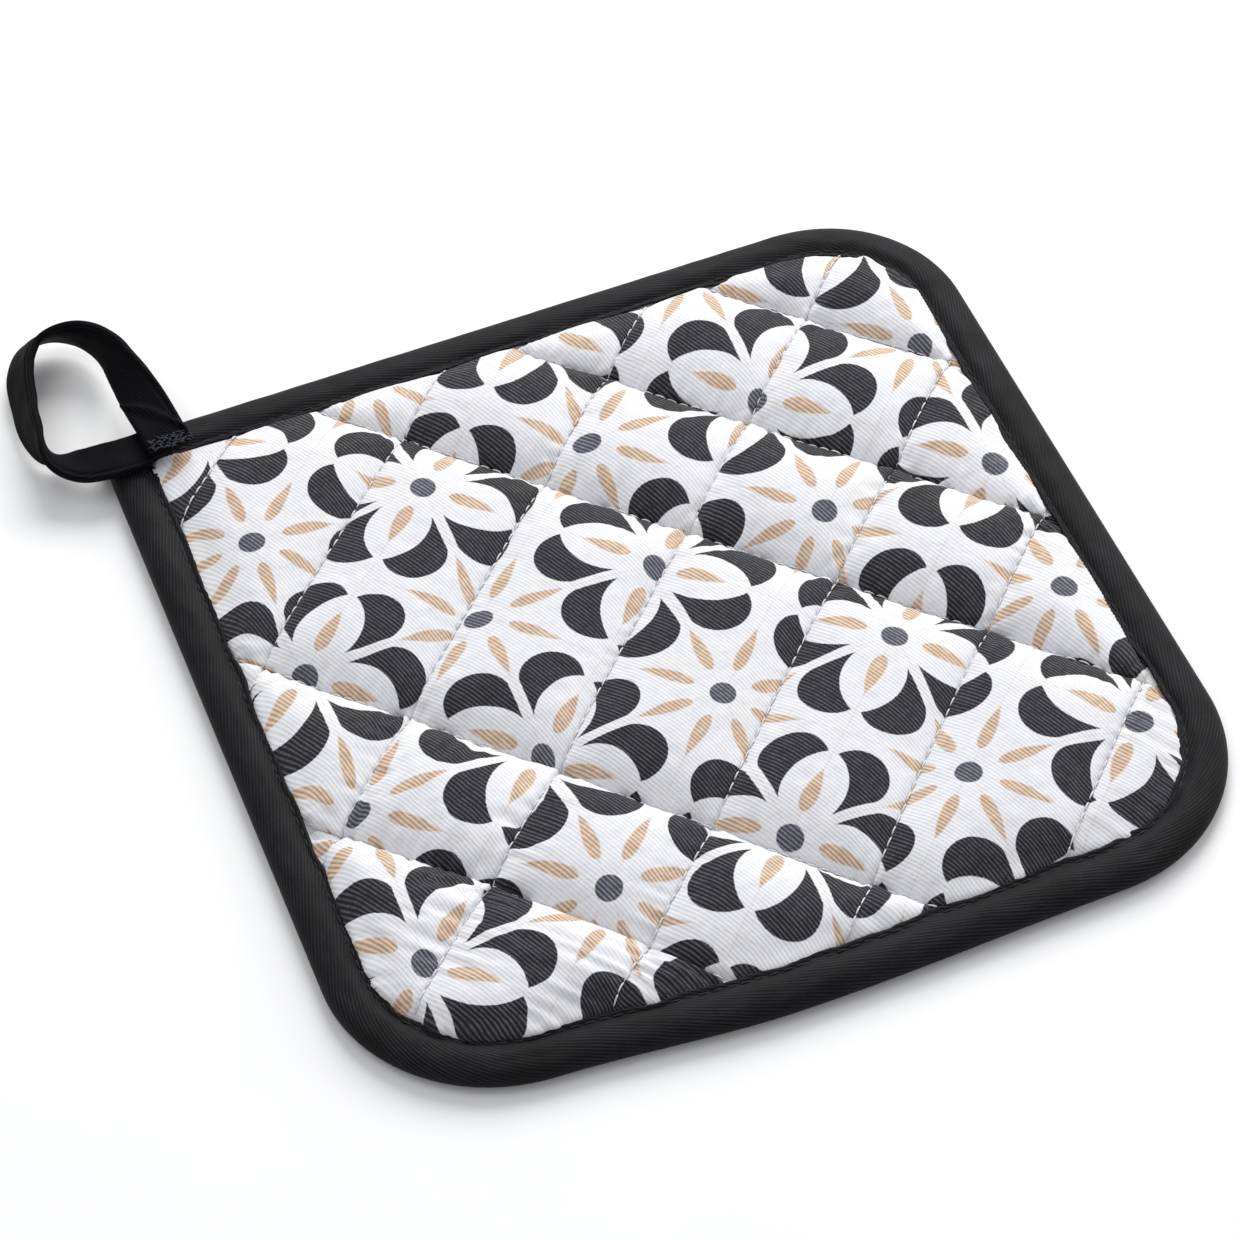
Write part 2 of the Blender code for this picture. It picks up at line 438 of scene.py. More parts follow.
def twill_lines(x, y, direction, pitch, waver=0.5):
    """From 0 in the furrows to 1 on the ribs of a twill whose lines run in a direction, in degrees."""
    turn = math.radians(direction)
    across = x * -math.sin(turn) + y * math.cos(turn)
    along = x * math.cos(turn) + y * math.sin(turn)
    drift = noise_of(across * 0.8, along * 0.12, 1.0, 3.0, 0.6) * waver
    phase = (across / pitch + drift) * (2 * math.pi)
    return phase.math("SINE") * 0.5 + 0.5


def drop(along, across, start, length, width):
    """Distance inside a petal that is blunt at its start and pointed at its end."""
    share = ((along - start) / length).clamped()
    half = share.math("SQRT") * (share * -1 + 1) * (width * DROP_FULLNESS)
    return half - abs(across) - DROP_TRIM


def print_fields(x, y):
    """Distances inside the print's dark lobes, ochre petals and grey dots."""
    u = (x - y) * math.sqrt(0.5) - PRINT_U
    v = (x + y) * math.sqrt(0.5) - PRINT_V
    first = v / PRINT_REPEAT_V
    second = (u - v * PRINT_LEAN) / PRINT_REPEAT_U
    cell = PRINT_REPEAT_U * math.sqrt(0.5)

    def local(shift):
        part = first + shift
        other = second + shift
        part = part - part.math("ROUND")
        other = other - other.math("ROUND")
        return (part + other) * cell, (part - other) * cell

    flower_x, flower_y = (abs(value) for value in local(0.0))
    star_x, star_y = local(0.5)

    beside = flower_x.less(flower_y)
    ahead = flower_x.more(flower_y)
    across, along = LOBE_CENTRE
    disk = hypot(beside - across, ahead - along) * -1 + LOBE_RADIUS
    tail = (ahead * -1 + along).less(beside * -1 + across)
    clear_of_petal = hypot(beside - PETAL_CENTRE[0], ahead - PETAL_CENTRE[1]) - PETAL_RADIUS
    lobe = disk.more(tail).less(clear_of_petal).less(beside - LOBE_FROM_AXIS).less(ahead - LOBE_FROM_CENTRE)

    petal_along = (flower_x + flower_y) * math.sqrt(0.5)
    petal_across = (flower_x - flower_y) * math.sqrt(0.5)
    in_petal = drop(petal_along, petal_across, *MARKS["petal"])

    reach = hypot(star_x, star_y)
    turn = 2 * math.pi / STAR_RAYS
    angle = star_y.math("ARCTAN2", star_x) / turn
    angle = (angle - angle.math("ROUND")) * turn
    star_along = reach * angle.math("COSINE")
    star_across = reach * angle.math("SINE")
    in_ray = drop(star_along, star_across, *MARKS["ray"])

    flower_dot = hypot(flower_x, flower_y * FLOWER_DOT_STRETCH) * -1 + FLOWER_DOT_RADIUS
    star_dot = reach * -1 + STAR_DOT_RADIUS
    return lobe, in_petal.more(in_ray), flower_dot.more(star_dot)


def cotton(name, printed):
    """Twill-woven cotton, white, with or without the print; its ribs and bump are real, the ribs' lighter
    colour is a painted highlight and the furrows' darker colour painted shade.
    """
    made, tree, shader = new_material(name)
    x, y = flat_places(tree)
    rib = twill_lines(x, y, TWILL_DIRECTION, TWILL_PITCH)
    slub = noise_of(x * 0.6, y, 1.1, 3.0, 0.6, seed=3.0)
    # patchy mottles the colour with painted shade of small wrinkles, a few millimetres across
    patchy = noise_of(x, y, 0.35, 3.0, 0.6, seed=5.0)
    weave_and_shade = (rib.math("POWER", 0.5) * 0.55 + 0.42 + slub * 0.9 + patchy * 0.5).clamped()
    colour = mixed(tree, weave_and_shade, WHITE_FURROW_SHADE, WHITE)
    if printed:
        edge_x = x + noise_of(x, y, 2.2, 2.0, 0.6, seed=7.0) * PRINT_FRAY
        edge_y = y + noise_of(x, y, 2.2, 2.0, 0.6, seed=11.0) * PRINT_FRAY
        lobe, mark, dot = print_fields(edge_x, edge_y)
        ochre_shade_share = (rib * 0.9 + slub * 0.8 + patchy * 0.5).clamped()
        ochre = mixed(tree, ochre_shade_share, OCHRE_FURROW_SHADE, OCHRE)
        colour = mixed(tree, mark.inside(0.45) * 0.86, colour, ochre)
        speckle = noise_of(x, y, 2.6, 2.0, 0.6, seed=9.0)
        # Painted highlight on the ribs of the dark lobes and the grey dots
        rib_highlight_share = (rib.math("POWER", 1.8) * (patchy * 0.9 + slub * 0.9 + speckle * 1.6 + 0.7)).clamped()
        grey = mixed(tree, rib_highlight_share, DOT, DOT_RIB_HIGHLIGHT)
        colour = mixed(tree, dot.inside(0.25), colour, grey)
        dark = mixed(tree, rib_highlight_share, CHARCOAL, CHARCOAL_RIB_HIGHLIGHT)
        colour = mixed(tree, lobe.inside(0.2), colour, dark)
    tree.links.new(colour, shader.inputs["Base Color"])
    shader.inputs["Roughness"].default_value = 0.88
    shader.inputs["Sheen Weight"].default_value = 0.08
    shader.inputs["Sheen Roughness"].default_value = 0.5
    shader.inputs["Specular IOR Level"].default_value = 0.18
    add_bump(tree, shader, rib + slub * 0.5, 0.06 * MM, 0.8)
    return made


def tape_cloth(name, shine, rib_sheen_colour):
    """Black cotton tape with fine slanting ribs, painted lighter in broad patches as a painted sheen; flat
    x runs along the tape and y across it.
    """
    made, tree, shader = new_material(name)
    x, y = flat_places(tree)
    rib = twill_lines(x, y, TAPE_TWILL_DIRECTION, TAPE_TWILL_PITCH, waver=0.9)
    fine = noise_of(x * 0.5, y * 2.2, 1.6, 3.0, 0.65, seed=2.0)
    # Painted sheen: ribs lighter than the black furrows, more in some broad patches than in others
    patchy_sheen = noise_of(x, y, 0.09, 2.0, 0.5, seed=4.0)
    share = (rib.math("POWER", 3.0) * (patchy_sheen + 0.45) + fine * 0.5).clamped()
    colour = mixed(tree, share, TAPE_FURROW, rib_sheen_colour)
    tree.links.new(colour, shader.inputs["Base Color"])
    shader.inputs["Roughness"].default_value = 0.62
    shader.inputs["Sheen Weight"].default_value = 0.16 * shine
    shader.inputs["Specular IOR Level"].default_value = shine
    add_bump(tree, shader, rib * 0.6 + fine, 0.06 * MM, 0.7)
    return made


def thread_finish(name, colour, roughness):
    """Twisted sewing thread."""
    made, tree, shader = new_material(name)
    place = tree.nodes.new("ShaderNodeTexCoord")
    node = tree.nodes.new("ShaderNodeTexNoise")
    node.inputs["Scale"].default_value = 3000
    tree.links.new(place.outputs["Object"], node.inputs["Vector"])
    share = Field(tree, node.outputs["Fac"])
    darker = tuple(part * 0.6 for part in colour)
    tree.links.new(mixed(tree, share, darker, colour), shader.inputs["Base Color"])
    shader.inputs["Roughness"].default_value = roughness
    add_bump(tree, shader, share, 0.03 * MM, 0.6)
    return made


def floor_finish():
    made, tree, shader = new_material("pale_floor")
    place = tree.nodes.new("ShaderNodeTexCoord")
    node = tree.nodes.new("ShaderNodeTexNoise")
    node.inputs["Scale"].default_value = 40
    tree.links.new(place.outputs["Object"], node.inputs["Vector"])
    share = Field(tree, node.outputs["Fac"])
    tree.links.new(mixed(tree, share, FLOOR_DARKER, FLOOR_LIGHTER), shader.inputs["Base Color"])
    shader.inputs["Roughness"].default_value = 0.8
    return made


def smooth_step(value, low, high):
    share = np.clip((value - low) / (high - low), 0, 1)
    return share * share * (3 - 2 * share)


def sew_uneven(x, y):
    """The plan's true place of a point: the near edge bows out and its left end is drawn in."""
    nearness = smooth_step(-y, 0, HALF_SIDE)
    bow = NEAR_BOW * np.exp(-((x / NEAR_BOW_REACH) ** 2))
    lift = NEAR_LEFT_LIFT * smooth_step(-x, -NEAR_LEFT_FROM, -NEAR_LEFT_TO)
    return x, y + nearness * (lift - bow)


def edge_distance(x, y):
    """How far a point of the plan lies inside the rim."""
    distance = np.minimum(HALF_SIDE - np.abs(x), HALF_SIDE - np.abs(y))
    for x_side, y_side, radius, _ in CORNERS:
        across = x * x_side - (HALF_SIDE - radius)
        along = y * y_side - (HALF_SIDE - radius)
        in_corner = (across > 0) & (along > 0)
        distance = np.where(in_corner, radius - np.hypot(across, along), distance)
    return distance


def ways_in(x, y):
    """The way from the rim inwards at each point of the plan."""
    step = 0.1 * MM
    over_x = edge_distance(x + step, y) - edge_distance(x - step, y)
    over_y = edge_distance(x, y + step) - edge_distance(x, y - step)
    return np.stack([over_x, over_y], -1) / np.maximum(np.hypot(over_x, over_y), 1e-12)[..., None]


def nearest_line(across, lines):
    return np.min([np.abs(across - line) for line in lines], axis=0)


def puff(distance):
    """Share of the full height at a distance from a seam: steep beside it, flat on the crown."""
    share = np.minimum(distance / PILLOW_HALF, 1)
    return 1 - (1 - share) ** PILLOW_POWER


def across_quilting(x, y):
    """How far along the row of A lines and of B lines a point of the plan lies."""
    over_a = (x - y) / math.sqrt(2)
    return over_a, (x + y) / math.sqrt(2) - B_LEAN * over_a


def top_height(x, y):
    over_a, over_b = across_quilting(x, y)
    to_a = nearest_line(over_a, A_LINES)
    to_b = nearest_line(over_b, B_LINES)
    share = A_FLOOR + (1 - A_FLOOR) * puff(to_a)
    free = np.maximum(edge_distance(x, y) - PAD_FREE_INSET, 0)
    at_rim = 1 - (1 - np.minimum(free / RISE_AT_RIM, 1)) ** RISE_POWER
    return PAD_RIM_HIGH + CROWN * share * puff(to_b) * at_rim


def under_height(x, y):
    over_a, over_b = across_quilting(x, y)
    to_line = np.minimum(nearest_line(over_a, A_LINES), nearest_line(over_b, B_LINES))
    ramp = np.maximum(1 - np.maximum(edge_distance(x, y) - PAD_FREE_INSET, 0) / UNDER_RAMP, 0)
    groove = np.maximum(1 - to_line / UNDER_GROOVE_HALF, 0)
    return np.maximum(PAD_RIM_LOW * ramp, UNDER_GROOVE * groove * groove)


def drawn_in(cloth, lines, rise):
    """Plan places of flat cloth that is drawn in beside its seams, where it climbs steeply."""
    ends = [min(lines) - 3 * A_PITCH, *sorted(lines), max(lines) + 3 * A_PITCH]
    fine = np.linspace(ends[0], ends[-1], 6001)
    height = rise * puff(nearest_line(fine, lines))
    length = np.concatenate([[0], np.cumsum(np.hypot(np.diff(fine), np.diff(height)))])
    at_ends = np.interp(ends, fine, length)
    as_sewn = np.interp(length, at_ends, ends)
    return np.interp(cloth, as_sewn, fine)


def grid_values(first, pitch):
    """Fine grid places on both sides of a first quilting line, which lies on a coarse one."""
    coarse = pitch / CELLS
    low = math.ceil((-GRID_REACH - first) / coarse)
    high = math.floor((GRID_REACH - first) / coarse)
    return first + coarse / 2 * np.arange(2 * low, 2 * high + 1)


def uneven(shape, waves, seed):
    """Smooth chance values over a grid, about 1 high, with so many waves along each side."""
    draw = np.random.default_rng(seed)
    values = draw.standard_normal((waves + 2, waves + 2))
    for axis in (0, 1):
        place = np.linspace(0, waves, shape[axis])
        low = place.astype(int)
        share = smooth_step(place - low, 0, 1)
        share = share[:, None] if axis == 0 else share[None, :]
        values = np.take(values, low, axis) * (1 - share) + np.take(values, low + 1, axis) * share
    return values


def doubled(values):
    """A grid with a point more between each two, on a smooth curve through them."""
    for axis in (0, 1):
        rows = np.moveaxis(values, axis, 0)
        longer = np.concatenate([rows[:1], rows, rows[-1:]])
        between = (9 * (longer[1:-2] + longer[2:-1]) - longer[:-3] - longer[3:]) / 16
        full = np.empty((2 * len(rows) - 1, *rows.shape[1:]))
        full[::2] = rows
        full[1::2] = between
        values = np.moveaxis(full, 0, axis)
    return values


def keep_length(points, free, rest, axis):
    """Moves neighbours along an axis of the grid until they are their length apart again."""
    points = np.moveaxis(points, axis, 0)
    free = np.moveaxis(free, axis, 0)
    rest = np.moveaxis(rest, axis, 0)
    for first in (0, 1):
        pairs = (len(points) - first) // 2
        here = slice(first, first + 2 * pairs, 2)
        there = slice(first + 1, first + 2 * pairs, 2)
        between = points[there] - points[here]
        length = np.sqrt((between * between).sum(-1))
        over = length - rest[here]
        over *= np.where(over > 0, 1, FOLD_GIVES_WAY)
        weight = np.maximum(free[here] + free[there], 1)
        move = between * (over / np.maximum(length, 1e-9) / weight)[..., None]
        points[here] += move * free[here][..., None]
        points[there] -= move * free[there][..., None]


def ways_out(points):
    """The way up from the cloth at each point of the grid."""
    ways = np.cross(np.gradient(points, axis=0), np.gradient(points, axis=1))
    ways /= np.maximum(np.linalg.norm(ways, axis=-1, keepdims=True), 1e-12)
    return ways * np.sign(ways[..., 2:3])


class PadCloth:
    """The pad's cloth as a grid along its quilting lines, with two fine steps to each coarse one."""

    def __init__(self):
        self.across_a = grid_values(A_FIRST, A_PITCH)
        self.across_b = grid_values(B_LINES[0], B_PITCH)
        a, b = np.meshgrid(self.across_a, self.across_b, indexing="ij")
        drag = PRINT_DRAG * np.exp(-((nearest_line(a, A_LINES) / PRINT_DRAG_REACH) ** 2))
        places, shifts_u, shifts_v = np.array(PRINT_SHIFTS).T * MM
        flat_a = a - np.interp(b, places, shifts_u)
        flat_b = b + B_LEAN * a + drag - np.interp(b, places, shifts_v)
        self.flat = np.stack([(flat_b + flat_a) / math.sqrt(2), (flat_b - flat_a) / math.sqrt(2)], -1)
        drawn_a = drawn_in(a, A_LINES, CROWN * (1 - A_FLOOR))
        drawn_b = drawn_in(b, B_LINES, CROWN * B_TAKE_UP) + B_LEAN * drawn_a
        x = (drawn_b + drawn_a) / math.sqrt(2)
        y = (drawn_b - drawn_a) / math.sqrt(2)
        self.inside = edge_distance(x, y)
        sewn_x, sewn_y = sew_uneven(x, y)
        self.top = np.stack([sewn_x, sewn_y, top_height(x, y)], -1)
        self.under = np.stack([sewn_x, sewn_y, under_height(x, y)], -1)
        self.top = doubled(self.settled(self.top[::2, ::2]))
        self.bulge_over_binding()
        self.fold_seams()

    def coarse_cells(self):
        """First corners of the coarse cells that lie wholly inside the hidden rim."""
        held = self.inside[::2, ::2] > PAD_HIDDEN_INSET
        return np.argwhere(held[:-1, :-1] & held[1:, :-1] & held[:-1, 1:] & held[1:, 1:])

    def settled(self, points):
        """The top cloth, a little too long for its place, pushed up by the wadding between its seams."""
        inside = self.inside[::2, ::2]
        to_a = nearest_line(self.across_a[::2], A_LINES)[:, None]
        to_b = nearest_line(self.across_b[::2], B_LINES)[None, :]
        held = (to_a < ON_LINE) | (to_b < ON_LINE) | (inside < PAD_FREE_INSET + BINDING_HOLDS)
        free = (~held).astype(float)
        shape = held.shape
        middle = self.across_b[::2]
        broad = (middle > B_LINES[1]) & (middle < B_LINES[2])
        slack_a = SLACK_ACROSS_A * (1 + SLACK_UNEVEN * uneven(shape, SLACK_WAVES, 6))
        slack_a = slack_a + GATHER * np.exp(-to_b / GATHER_REACH)
        slack_b = np.where(broad, SLACK_BROAD, SLACK_ACROSS_B)[None, :]
        slack_b = slack_b * (1 + SLACK_UNEVEN * uneven(shape, SLACK_WAVES, 5))
        slack_b = slack_b + GATHER * np.exp(-to_a / GATHER_REACH)
        at_rim = RIM_SLACK * np.exp(-np.abs(inside - PAD_FREE_INSET) / RIM_SLACK_REACH)
        slack_a = slack_a + at_rim
        slack_b = slack_b + at_rim
        rest_a = A_PITCH / CELLS * (1 + slack_a)
        rest_b = B_PITCH / CELLS * (1 + slack_b)
        points = points.copy()
        points[..., 2] += free * uneven(shape, FIRST_WRINKLE_WAVES, 7) * FIRST_WRINKLES
        for step in range(SETTLE_STEPS):
            push = WADDING_PUSH * (1 - PUSH_FADES * step / SETTLE_STEPS)
            points += ways_out(points) * (push * free)[..., None]
            for _ in range(LENGTH_ROUNDS):
                keep_length(points, free, rest_a, 0)
                keep_length(points, free, rest_b, 1)
            around = points[2:, 1:-1] + points[:-2, 1:-1] + points[1:-1, 2:] + points[1:-1, :-2]
            points[1:-1, 1:-1] += (around / 4 - points[1:-1, 1:-1]) * (STIFFNESS * free)[1:-1, 1:-1, None]
        return points

    def bulge_over_binding(self):
        """Pushes the pillows' ends a little over the binding's edge."""
        from_rim = (self.inside - PAD_FREE_INSET - RIM_BULGE_AT) / RIM_BULGE_REACH
        pillow_a = puff(nearest_line(self.across_a, A_LINES))[:, None]
        pillow_b = puff(nearest_line(self.across_b, B_LINES))[None, :]
        bulge = RIM_BULGE * pillow_a * pillow_b * np.exp(-(from_rim**2))
        self.top[..., :2] -= ways_in(self.top[..., 0], self.top[..., 1]) * bulge[..., None]

    def fold_seams(self):
        """Draws the top cloth into a narrow fold along each seam."""
        free = smooth_step(self.inside, PAD_FREE_INSET + FOLD_FADES_TO, PAD_FREE_INSET + FOLD_FADES_FROM)
        patchy = 0.8 + 0.3 * uneven(self.inside.shape, FOLD_WAVES, 8)
        self.top[..., 2] += FINE_RELIEF * uneven(self.inside.shape, FINE_RELIEF_WAVES, 9) * free
        for values, lines, depth, way, along in (
            (self.across_a[:, None], A_LINES, A_FOLD_DEPTH, (1, -1), self.across_b[None, :]),
            (self.across_b[None, :], B_LINES, B_FOLD_DEPTH, (1, 1), self.across_a[:, None]),
        ):
            line = np.array(lines)[np.argmin([np.abs(values - each) for each in lines], axis=0)]
            side = values - line
            off = np.abs(side)
            swallowed = FOLD_SWALLOWS * (1 - np.exp(-off / FOLD_START)) * np.exp(-off / FOLD_REACH)
            sunk = depth * patchy * np.exp(-((off / FOLD_HALF) ** 1.5))
            pucker = PUCKER * patchy * np.sin(2 * math.pi * along / STITCH)
            sunk = sunk + pucker * np.exp(-off / PUCKER_REACH)
            for axis in (0, 1):
                self.top[..., axis] -= np.sign(side) * swallowed * free * way[axis] / math.sqrt(2)
            self.top[..., 2] -= sunk * free


def pad_mesh(cloth):
    """One closed body: a fine top, a coarser underside and a side between them."""
    points = []
    flats = []
    spots = {}

    def spot(side, i, j):
        key = (side, i, j)
        if key not in spots:
            spots[key] = len(points)
            points.append((cloth.top if side else cloth.under)[i, j])
            flats.append(cloth.flat[i, j])
        return spots[key]

    faces = []
    finish = []
    borders = {}
    for first, second in cloth.coarse_cells() * 2:
        for i in (first, first + 1):
            for j in (second, second + 1):
                ring = ((i, j), (i + 1, j), (i + 1, j + 1), (i, j + 1))
                faces.append([spot(1, *corner) for corner in ring])
                finish.append(0)
        ring = [(first, second), (first + 2, second), (first + 2, second + 2), (first, second + 2)]
        faces.append([spot(0, *corner) for corner in reversed(ring)])
        finish.append(1)
        for here, there in zip(ring, ring[1:] + ring[:1]):
            if (there, here) in borders:
                del borders[(there, here)]
            else:
                borders[(here, there)] = True
    for here, there in borders:
        middle = ((here[0] + there[0]) // 2, (here[1] + there[1]) // 2)
        faces.append([spot(0, *here), spot(0, *there), spot(1, *there), spot(1, *middle), spot(1, *here)])
        finish.append(0)
    mesh = bpy.data.meshes.new("quilted_pad_cloth")
    mesh.from_pydata([tuple(point) for point in points], [], faces)
    mesh.polygons.foreach_set("material_index", finish)
    layer = mesh.uv_layers.new(name="flat")
    corners = np.empty(len(mesh.loops), dtype=np.int32)
    mesh.loops.foreach_get("vertex_index", corners)
    places = np.array(flats)[corners] / (100 * MM)
    layer.data.foreach_set("uv", places.astype(np.float32).ravel())
    turned_out(mesh)
    return mesh


def turned_out(mesh):
    """Faces pointing out, shaded smooth."""
    work = bmesh.new()
    work.from_mesh(mesh)
    bmesh.ops.recalc_face_normals(work, faces=work.faces)
    work.to_mesh(mesh)
    work.free()
    mesh.shade_smooth()


def add_piece(name, mesh, *finishes):
    piece = bpy.data.objects.new(name, mesh)
    for finish in finishes:
        mesh.materials.append(finish)
    bpy.context.scene.collection.objects.link(piece)
    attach(piece, "root")
    return piece


def rim_posts(spacing):
    """Points on the rim's plan, anticlockwise from the loop corner: place, way inwards, length so far."""
    mitre = Vector((-HALF_SIDE, HALF_SIDE))
    posts = [(mitre, Vector((1, -1)))]
    last = mitre

    def side_to(end, inward):
        steps = max(2, round((end - last).length / spacing))
        for step in range(1, steps):
            point = last.lerp(end, step / steps)
            off = point - mitre
            posts.append((point, inward + off.normalized() * max(1 - off.length / MITRE_REACH, 0)))

    for x_side, y_side, radius, first_angle in CORNERS:
        centre = Vector((x_side, y_side)) * (HALF_SIDE - radius)
        steps = round(radius * math.pi / 2 / spacing)
        arc = []
        for step in range(steps + 1):
            angle = math.radians(first_angle + 90 * step / steps)
            outward = Vector((math.cos(angle), math.sin(angle)))
            arc.append((centre + outward * radius, -outward))
        side_to(*arc[0])
        posts.extend(arc)
        last = arc[-1][0]
    side_to(posts[0][0], Vector((0, -1)))
    lengths = [0.0]
    for (before, _), (after, _) in zip(posts, posts[1:]):
        lengths.append(lengths[-1] + (after - before).length)
    return [(point, inward, length) for (point, inward), length in zip(posts, lengths)]


def smooth_run(stations, steps):
    """Catmull-Rom values through the rows of a table."""
    rows = [Vector(row) for row in stations]
    rows = [rows[0] * 2 - rows[1]] + rows + [rows[-1] * 2 - rows[-2]]
    run = []
    for before, start, end, after in zip(rows, rows[1:], rows[2:], rows[3:]):
        for step in range(steps):
            t = step / steps
            run.append(
                (
                    start * 2
                    + (end - before) * t
                    + (before * 2 - start * 5 + end * 4 - after) * t**2
                    + (start * 3 - before - end * 3 + after) * t**3
                )
                / 2
            )
    run.append(rows[-2])
    return run


def swept(name, sections, flats, closed):
    """A skin through equal rings of points, with each ring's places on the flat tape, in mm."""
    mesh = bpy.data.meshes.new(name)
    count = len(sections[0])
    rows = len(sections)
    points = [tuple(point) for section in sections for point in section]
    faces = []
    places = []
    for row in range(rows if closed else rows - 1):
        after = (row + 1) % rows
        for corner in range(count):
            beside = (corner + 1) % count
            here = row * count
            there = after * count
            faces.append((here + corner, here + beside, there + beside, there + corner))
            along_here, along_there = flats[row][0], flats[after][0] if after else flats[0][2]
            across_here = flats[row][1][corner]
            across_there = flats[row][1][corner + 1]
            places += [
                (along_here, across_here),
                (along_here, across_there),
                (along_there, across_there),
                (along_there, across_here),
            ]
    if not closed:
        for row, ring in ((0, range(count)), (rows - 1, reversed(range(count)))):
            faces.append([row * count + corner for corner in ring])
            places += [(flats[row][0], 0.0)] * count
    mesh.from_pydata(points, [], faces)
    layer = mesh.uv_layers.new(name="flat")
    layer.data.foreach_set("uv", (np.array(places) / 100).astype(np.float32).ravel())
    turned_out(mesh)
    return mesh


def lengths_round(points):
    """Length so far at each point of a ring in its plane, and the full length at the end."""
    lengths = [0.0]
    for here, there in zip(points, points[1:] + points[:1]):
        lengths.append(lengths[-1] + math.dist(here, there))
    return lengths


def binding_mesh():
    """The tape folded over the rim, its sewn edge a little uneven and puckered between the stitches."""
    section = [(row[0], row[1]) for row in smooth_run(BINDING_SECTION, 2)]
    across = lengths_round(section)
    posts = rim_posts(BINDING_SPACING)
    total = (posts[-1][2] + (posts[-1][0] - posts[0][0]).length) / MM
    rings = []
    flats = []
    for point, inward, length in posts:
        off_mitre = smooth_step(min(length / MM, total - length / MM), 0, MITRE_CALM)
        ring = []
        for inset, height in section:
            on_top = smooth_step(height, TOP_FROM, TOP_TO)
            at_lip = smooth_step(inset, LIP_FROM, LIP_TO) * off_mitre
            drift = noise.noise(Vector((length / (LIP_DRIFT_WAVE * MM), inset * 0.05, 1.7)))
            tremble = noise.noise(Vector((length / (LIP_TREMBLE_WAVE * MM), inset * 0.05, 6.4)))
            drift += LIP_TREMBLE * tremble
            inset += at_lip * drift * LIP_DRIFT * (1 if on_top else LIP_BELOW)
            swell = noise.noise(Vector((length / (TAPE_SWELL_WAVE * MM), inset * 0.35, 5.1)))
            pucker = math.sin(length / STITCH * 2 * math.pi) * at_lip
            height += on_top * (TAPE_SWELL * swell * off_mitre + LIP_PUCKER * pucker)
            spot = point + inward * (inset * MM)
            x, y = sew_uneven(spot.x, spot.y)
            ring.append((x, y, height * MM))
        rings.append(ring)
        flats.append((length / MM, across, total))
    return swept("binding_tape", rings, flats, closed=True)


def loop_frames():
    """Middle point, way across, way out and length so far at each step of the loop's tape."""
    run = smooth_run(LOOP_STATIONS, LOOP_STEPS)
    middle = [Vector((x * MM - HALF_SIDE, y * MM + HALF_SIDE, z * MM)) for x, y, z, _ in run]
    frames = []
    length = 0.0
    for index, row in enumerate(run):
        ahead = middle[min(index + 1, len(middle) - 1)]
        behind = middle[max(index - 1, 0)]
        along = (ahead - behind).normalized()
        left = Vector((0, 0, 1)).cross(along).normalized()
        up = along.cross(left)
        lean = math.radians(row[3])
        across = left * math.cos(lean) + up * math.sin(lean)
        if index:
            length += (middle[index] - middle[index - 1]).length
        frames.append((middle[index], across, along.cross(across), length))
    return frames


def loop_mesh():
    """The tape's tail: flat at the rim, on its edge round the bend, flat again on the corner."""
    face = [(row[0], row[1]) for row in smooth_run(LOOP_SECTION, 2)]
    section = face + [(w, -h) for w, h in reversed(face[1:-1])]
    across = lengths_round(section)
    rings = []
    flats = []
    for step, (middle, side, out, length) in enumerate(loop_frames()):
        ring = []
        for w, h in section:
            wave = noise.noise(Vector((length / (LOOP_WAVE_LENGTH * MM), w * 0.3, 9.3))) * LOOP_WAVE
            crease = LOOP_CREASE[0] + (LOOP_CREASE[1] - LOOP_CREASE[0]) * (w / LOOP_TAPE_WIDTH * MM + 0.5)
            off = (step / LOOP_STEPS - crease) / LOOP_CREASE_HALF
            ridge = LOOP_CREASE_HEIGHT * math.exp(-(off**2))
            ring.append(middle + side * (w * MM) + out * ((h + wave + ridge) * MM))
        rings.append(ring)
        flats.append((length / MM, across, 0.0))
    return swept("loop_tape", rings, flats, closed=False)


def stitch_tubes(name, stitches):
    """Short arched threads; each stitch is its start, its end and the way it arches."""
    mesh = bpy.data.meshes.new(name)
    points = []
    faces = []
    for start, end, lift in stitches:
        base = len(points)
        along = (end - start).normalized()
        up = lift.normalized()
        side = along.cross(up).normalized()
        for step in range(THREAD_STEPS + 1):
            share = step / THREAD_STEPS
            arch = 4 * share * (1 - share)
            taper = 0.35 + 0.65 * min(1, arch * 2.5)
            centre = start.lerp(end, share) + lift * (arch - 0.5)
            for corner in range(THREAD_SIDES):
                angle = 2 * math.pi * corner / THREAD_SIDES
                points.append(centre + (side * math.cos(angle) + up * math.sin(angle)) * THREAD * taper)
        for step in range(THREAD_STEPS):
            for corner in range(THREAD_SIDES):
                beside = (corner + 1) % THREAD_SIDES
                here = base + step * THREAD_SIDES
                there = here + THREAD_SIDES
                faces.append((here + corner, here + beside, there + beside, there + corner))
        faces.append([base + corner for corner in range(THREAD_SIDES)])
        last = base + THREAD_STEPS * THREAD_SIDES
        faces.append([last + corner for corner in reversed(range(THREAD_SIDES))])
    mesh.from_pydata([tuple(point) for point in points], [], faces)
    turned_out(mesh)
    return mesh


def add_stitches(name, stitches, finish):
    return add_piece(name, stitch_tubes(name, stitches), finish)


def line_points(cloth, surface, line, along_a):
    """Points of the cloth along one quilting line, free of the binding."""
    if along_a:
        row = int(np.argmin(np.abs(cloth.across_a - line)))
        run, inside = surface[row], cloth.inside[row]
    else:
        row = int(np.argmin(np.abs(cloth.across_b - line)))
        run, inside = surface[:, row], cloth.inside[:, row]
    return run[inside > PAD_FREE_INSET - UNDER_BINDING]


